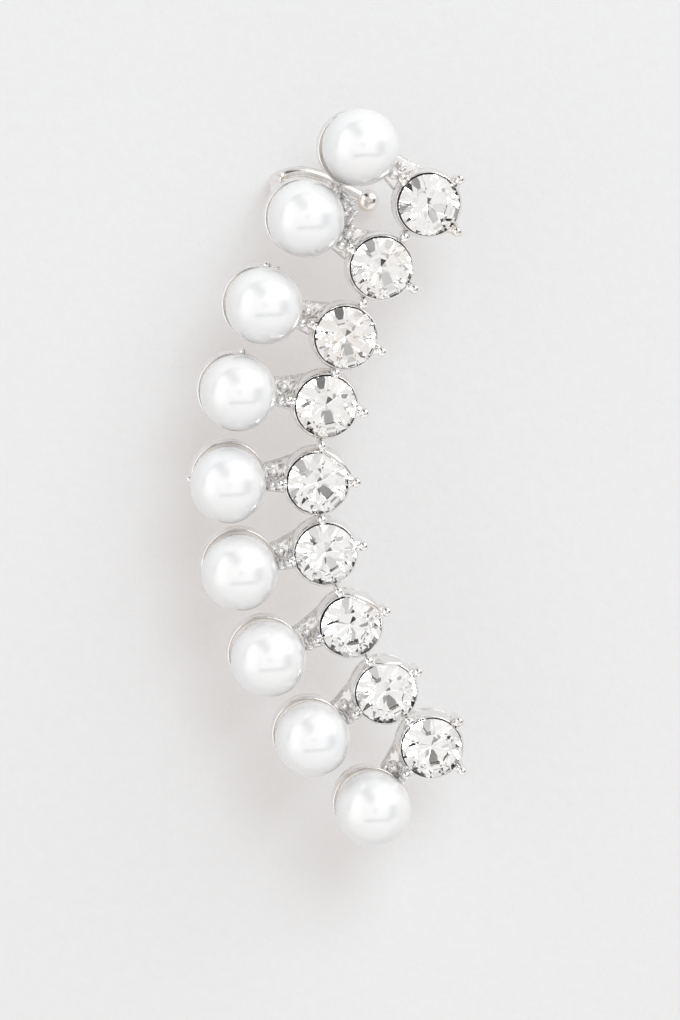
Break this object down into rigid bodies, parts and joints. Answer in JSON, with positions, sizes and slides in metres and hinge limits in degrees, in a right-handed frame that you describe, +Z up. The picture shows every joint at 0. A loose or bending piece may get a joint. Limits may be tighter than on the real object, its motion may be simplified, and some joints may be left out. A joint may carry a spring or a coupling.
{
  "type": "ear cuff",
  "caption": "Crescent ear cuff with a row of pearls in cups beside a row of clear cut stones in claw settings, on a wire ear hook and a lobe post.",
  "frame": {"origin": "middle of the cuff's box, on the surface that it rests on", "axes": "+Z up from the surface to the cuff's face, +Y along the cuff towards the end with the ear hook, -X towards the outer edge with the pearls"},
  "size_m": [0.0178, 0.0488, 0.0124],
  "materials": {
    "silver": "polished silver-tone plating over cast metal",
    "pearl": "pearlescent white coating with a soft gloss",
    "crystal": "clear cut glass with a mirrored back"
  },
  "bodies": {
    "root": {"metal_frame": "silver", "pearl_1": "pearl", "pearl_2": "pearl", "pearl_3": "pearl", "pearl_4": "pearl", "pearl_5": "pearl", "pearl_6": "pearl", "pearl_7": "pearl", "pearl_8": "pearl", "pearl_9": "pearl", "stone_1": "crystal", "stone_2": "crystal", "stone_3": "crystal", "stone_4": "crystal", "stone_5": "crystal", "stone_6": "crystal", "stone_7": "crystal", "stone_8": "crystal", "stone_9": "crystal"}
  },
  "joints": []
}
